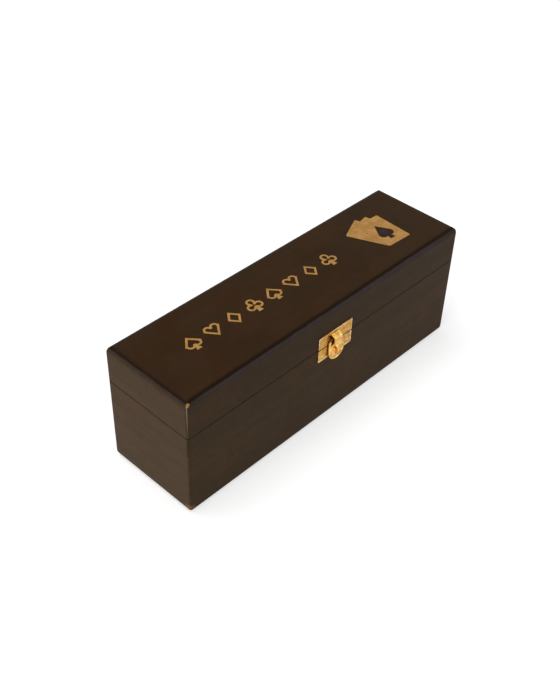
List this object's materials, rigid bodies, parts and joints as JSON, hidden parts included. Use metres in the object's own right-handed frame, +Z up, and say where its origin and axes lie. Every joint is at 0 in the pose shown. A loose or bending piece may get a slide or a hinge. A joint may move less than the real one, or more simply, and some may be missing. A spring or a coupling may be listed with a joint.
{
  "type": "cribbage box with drawer",
  "caption": "Long lidded wooden box with a hinged top, a swing-hook clasp, an inlaid top, a drilled peg board under the lid and a drawer for cards in its end.",
  "frame": {"origin": "middle of the underside of the box", "axes": "+X along the box, the way the drawer opens; +Y from the clasp side to the hinge side; +Z up"},
  "size_m": [0.292, 0.0867, 0.102],
  "materials": {
    "wood_dark": "dark brown satin lacquer",
    "wood_board": "oiled mid-brown hardwood",
    "wood_drawer": "plain sanded wood",
    "brass": "stamped brass, lightly polished",
    "brass_inlay": "brushed brass sheet, flush with the wood",
    "black_inlay": "black-stained wood",
    "steel": "plain",
    "peg_light": "turned light wood, waxed",
    "peg_dark": "turned dark wood, waxed"
  },
  "bodies": {
    "box": {"base_bottom": "wood_dark", "base_front": "wood_dark", "base_back": "wood_dark", "base_left_end": "wood_dark", "base_right_rail": "wood_dark", "board_cleat_front": "wood_drawer", "board_cleat_back": "wood_drawer", "peg_board": "wood_board", "hinge_base_leaf_left": "brass", "hinge_base_leaf_right": "brass", "hinge_pin_left": "brass", "hinge_pin_right": "brass", "hinge_screws_base": "brass", "clasp_lower_plate": "brass", "clasp_pins_base": "brass"},
    "lid": {"lid_top": "wood_dark", "lid_front": "wood_dark", "lid_back": "wood_dark", "lid_left_end": "wood_dark", "lid_right_end": "wood_dark", "inlay_card_front": "brass_inlay", "inlay_card_middle": "brass_inlay", "inlay_card_rear": "brass_inlay", "inlay_spade": "black_inlay", "hinge_lid_leaf_left": "brass", "hinge_lid_leaf_right": "brass", "hinge_screws_lid": "brass", "clasp_upper_plate": "brass", "clasp_pins_lid": "brass"},
    "hook": {"clasp_hook": "brass", "clasp_knob": "brass"},
    "drawer": {"drawer_front": "wood_dark", "drawer_side_front": "wood_drawer", "drawer_side_back": "wood_drawer", "drawer_back": "wood_drawer", "drawer_bottom": "wood_drawer", "drawer_divider_left": "wood_drawer", "drawer_divider_right": "wood_drawer", "drawer_knob": "brass", "drawer_knob_screw": "steel"},
    "peg_1": {"peg_1": "peg_light"},
    "peg_2": {"peg_2": "peg_light"},
    "peg_3": {"peg_3": "peg_dark"},
    "peg_4": {"peg_4": "peg_dark"}
  },
  "joints": [
    {"name": "lid_hinge", "type": "hinge", "parent": "box", "child": "lid", "pos_m": [0, 0.04125, 0.072], "axis": [-1, 0, 0], "range_deg": [0, 180]},
    {"name": "hook_turn", "type": "hinge", "parent": "box", "child": "hook", "pos_m": [0, -0.0408, 0.0648], "axis": [0, -1, 0], "range_deg": [0, 80]},
    {"name": "drawer_slide", "type": "slide", "parent": "box", "child": "drawer", "axis": [1, 0, 0], "range_m": [0, 0.235]},
    {"name": "peg_1_lift", "type": "slide", "parent": "box", "child": "peg_1", "axis": [0, 0, 1], "range_m": [0, 0.0095]},
    {"name": "peg_2_lift", "type": "slide", "parent": "box", "child": "peg_2", "axis": [0, 0, 1], "range_m": [0, 0.0095]},
    {"name": "peg_3_lift", "type": "slide", "parent": "box", "child": "peg_3", "axis": [0, 0, 1], "range_m": [0, 0.0095]},
    {"name": "peg_4_lift", "type": "slide", "parent": "box", "child": "peg_4", "axis": [0, 0, 1], "range_m": [0, 0.0095]}
  ]
}
